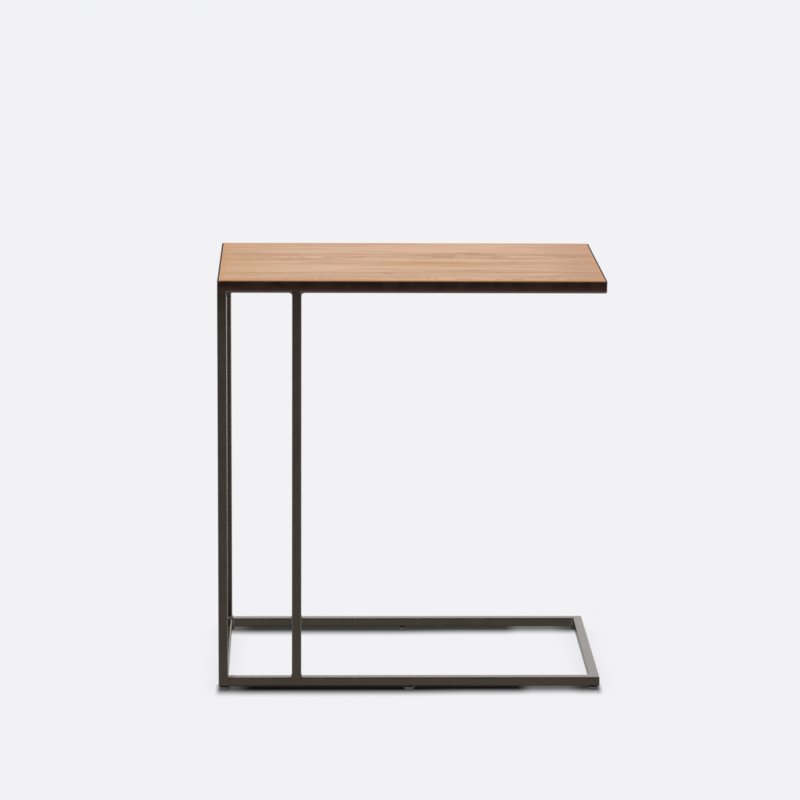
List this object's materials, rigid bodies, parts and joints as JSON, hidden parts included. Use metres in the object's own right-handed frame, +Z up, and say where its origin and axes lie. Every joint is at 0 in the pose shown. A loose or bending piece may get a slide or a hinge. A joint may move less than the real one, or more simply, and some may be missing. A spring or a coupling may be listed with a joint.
{
  "type": "side table",
  "caption": "C shaped side table: a board top in a thin steel frame, carried at one end by square-tube uprights on a rectangular base loop with levelling glides.",
  "frame": {"origin": "centre of the footprint on the floor", "axes": "+X towards the open side of the C, +Y to the rear, +Z up"},
  "size_m": [0.55, 0.3324, 0.6],
  "materials": {
    "wood": "oiled, satin",
    "blackened_steel": "blackened and lacquered, satin",
    "weld_metal": "weld beads under the same lacquer",
    "zinc_plated_steel": "black zinc plated",
    "pad_plastic": "moulded, satin"
  },
  "bodies": {
    "frame": {"top_board_front": "wood", "top_board_middle": "wood", "top_board_rear": "wood", "top_angle_front": "blackened_steel", "top_angle_rear": "blackened_steel", "top_angle_left": "blackened_steel", "top_angle_right": "blackened_steel", "upright_front_corner": "blackened_steel", "upright_rear_corner": "blackened_steel", "upright_front_inner": "blackened_steel", "upright_rear_inner": "blackened_steel", "base_rail_front": "blackened_steel", "base_rail_rear": "blackened_steel", "base_rail_left": "blackened_steel", "base_rail_right": "blackened_steel", "welds_front": "weld_metal", "welds_rear": "weld_metal", "welds_left": "weld_metal", "welds_base": "weld_metal", "weld_fills": "weld_metal", "panel_screws": "zinc_plated_steel", "glide_insert_front_left": "zinc_plated_steel", "glide_insert_front_middle": "zinc_plated_steel", "glide_insert_front_right": "zinc_plated_steel", "glide_insert_rear_left": "zinc_plated_steel", "glide_insert_rear_middle": "zinc_plated_steel", "glide_insert_rear_right": "zinc_plated_steel"},
    "pad_front_left": {"glide_pad_front_left": "pad_plastic"},
    "stem_front_left": {"glide_stem_front_left": "zinc_plated_steel"},
    "pad_front_middle": {"glide_pad_front_middle": "pad_plastic"},
    "stem_front_middle": {"glide_stem_front_middle": "zinc_plated_steel"},
    "pad_front_right": {"glide_pad_front_right": "pad_plastic"},
    "stem_front_right": {"glide_stem_front_right": "zinc_plated_steel"},
    "pad_rear_left": {"glide_pad_rear_left": "pad_plastic"},
    "stem_rear_left": {"glide_stem_rear_left": "zinc_plated_steel"},
    "pad_rear_middle": {"glide_pad_rear_middle": "pad_plastic"},
    "stem_rear_middle": {"glide_stem_rear_middle": "zinc_plated_steel"},
    "pad_rear_right": {"glide_pad_rear_right": "pad_plastic"},
    "stem_rear_right": {"glide_stem_rear_right": "zinc_plated_steel"}
  },
  "joints": [
    {"name": "pad_front_left_height", "type": "slide", "parent": "frame", "child": "pad_front_left", "axis": [0, 0, -1], "range_m": [0, 0.005]},
    {"name": "stem_front_left_turn", "type": "hinge", "parent": "pad_front_left", "child": "stem_front_left", "pos_m": [-0.266, -0.1582, 0.002], "axis": [0, 0, -1], "range_deg": [0, 1800]},
    {"name": "pad_front_middle_height", "type": "slide", "parent": "frame", "child": "pad_front_middle", "axis": [0, 0, -1], "range_m": [0, 0.005]},
    {"name": "stem_front_middle_turn", "type": "hinge", "parent": "pad_front_middle", "child": "stem_front_middle", "pos_m": [0, -0.1582, 0.002], "axis": [0, 0, -1], "range_deg": [0, 1800]},
    {"name": "pad_front_right_height", "type": "slide", "parent": "frame", "child": "pad_front_right", "axis": [0, 0, -1], "range_m": [0, 0.005]},
    {"name": "stem_front_right_turn", "type": "hinge", "parent": "pad_front_right", "child": "stem_front_right", "pos_m": [0.266, -0.1582, 0.002], "axis": [0, 0, -1], "range_deg": [0, 1800]},
    {"name": "pad_rear_left_height", "type": "slide", "parent": "frame", "child": "pad_rear_left", "axis": [0, 0, -1], "range_m": [0, 0.005]},
    {"name": "stem_rear_left_turn", "type": "hinge", "parent": "pad_rear_left", "child": "stem_rear_left", "pos_m": [-0.266, 0.1582, 0.002], "axis": [0, 0, -1], "range_deg": [0, 1800]},
    {"name": "pad_rear_middle_height", "type": "slide", "parent": "frame", "child": "pad_rear_middle", "axis": [0, 0, -1], "range_m": [0, 0.005]},
    {"name": "stem_rear_middle_turn", "type": "hinge", "parent": "pad_rear_middle", "child": "stem_rear_middle", "pos_m": [0, 0.1582, 0.002], "axis": [0, 0, -1], "range_deg": [0, 1800]},
    {"name": "pad_rear_right_height", "type": "slide", "parent": "frame", "child": "pad_rear_right", "axis": [0, 0, -1], "range_m": [0, 0.005]},
    {"name": "stem_rear_right_turn", "type": "hinge", "parent": "pad_rear_right", "child": "stem_rear_right", "pos_m": [0.266, 0.1582, 0.002], "axis": [0, 0, -1], "range_deg": [0, 1800]}
  ],
  "couplings": [
    {"joint": "stem_front_left_turn", "follows": "pad_front_left_height", "rad_per_m": 6283.2},
    {"joint": "stem_front_middle_turn", "follows": "pad_front_middle_height", "rad_per_m": 6283.2},
    {"joint": "stem_front_right_turn", "follows": "pad_front_right_height", "rad_per_m": 6283.2},
    {"joint": "stem_rear_left_turn", "follows": "pad_rear_left_height", "rad_per_m": 6283.2},
    {"joint": "stem_rear_middle_turn", "follows": "pad_rear_middle_height", "rad_per_m": 6283.2},
    {"joint": "stem_rear_right_turn", "follows": "pad_rear_right_height", "rad_per_m": 6283.2}
  ]
}
